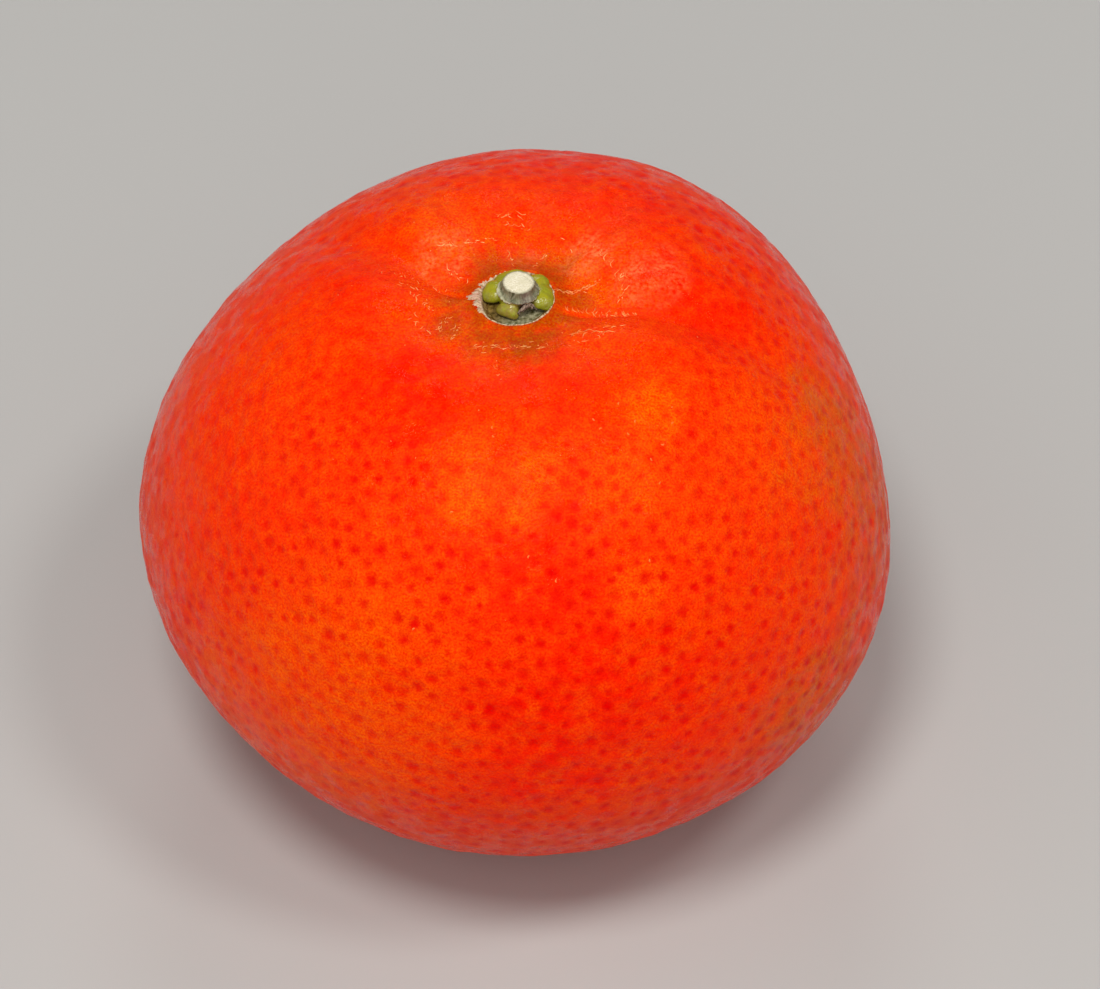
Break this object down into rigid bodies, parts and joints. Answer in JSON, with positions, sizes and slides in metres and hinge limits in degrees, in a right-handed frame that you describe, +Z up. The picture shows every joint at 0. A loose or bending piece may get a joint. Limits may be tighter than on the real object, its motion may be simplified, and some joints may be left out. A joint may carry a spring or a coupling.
{
  "type": "mandarin",
  "caption": "Whole mandarin as picked: a flattened round fruit with furrows round its hollowed stalk end, a green lobed calyx in a corky socket and a short cut stub of stalk.",
  "frame": {"origin": "on the surface that the fruit rests on, under the middle of its bounding box", "axes": "+Z up along the fruit's core, from its base to its stalk. +X to the right and +Y away, as seen in the reference picture."},
  "size_m": [0.0622, 0.0618, 0.0509],
  "materials": {
    "peel": "waxy satin skin, red-orange, with darker red oil glands about 1 mm across and 1.6 to 1.9 mm apart",
    "calyx": "smooth waxy olive green, browned at its torn edge",
    "stalk": "matt grey-green bark with fine ribs and a dry cream cut face"
  },
  "bodies": {
    "root": {"fruit": "peel", "calyx": "calyx", "stem_stub": "stalk"}
  },
  "joints": []
}
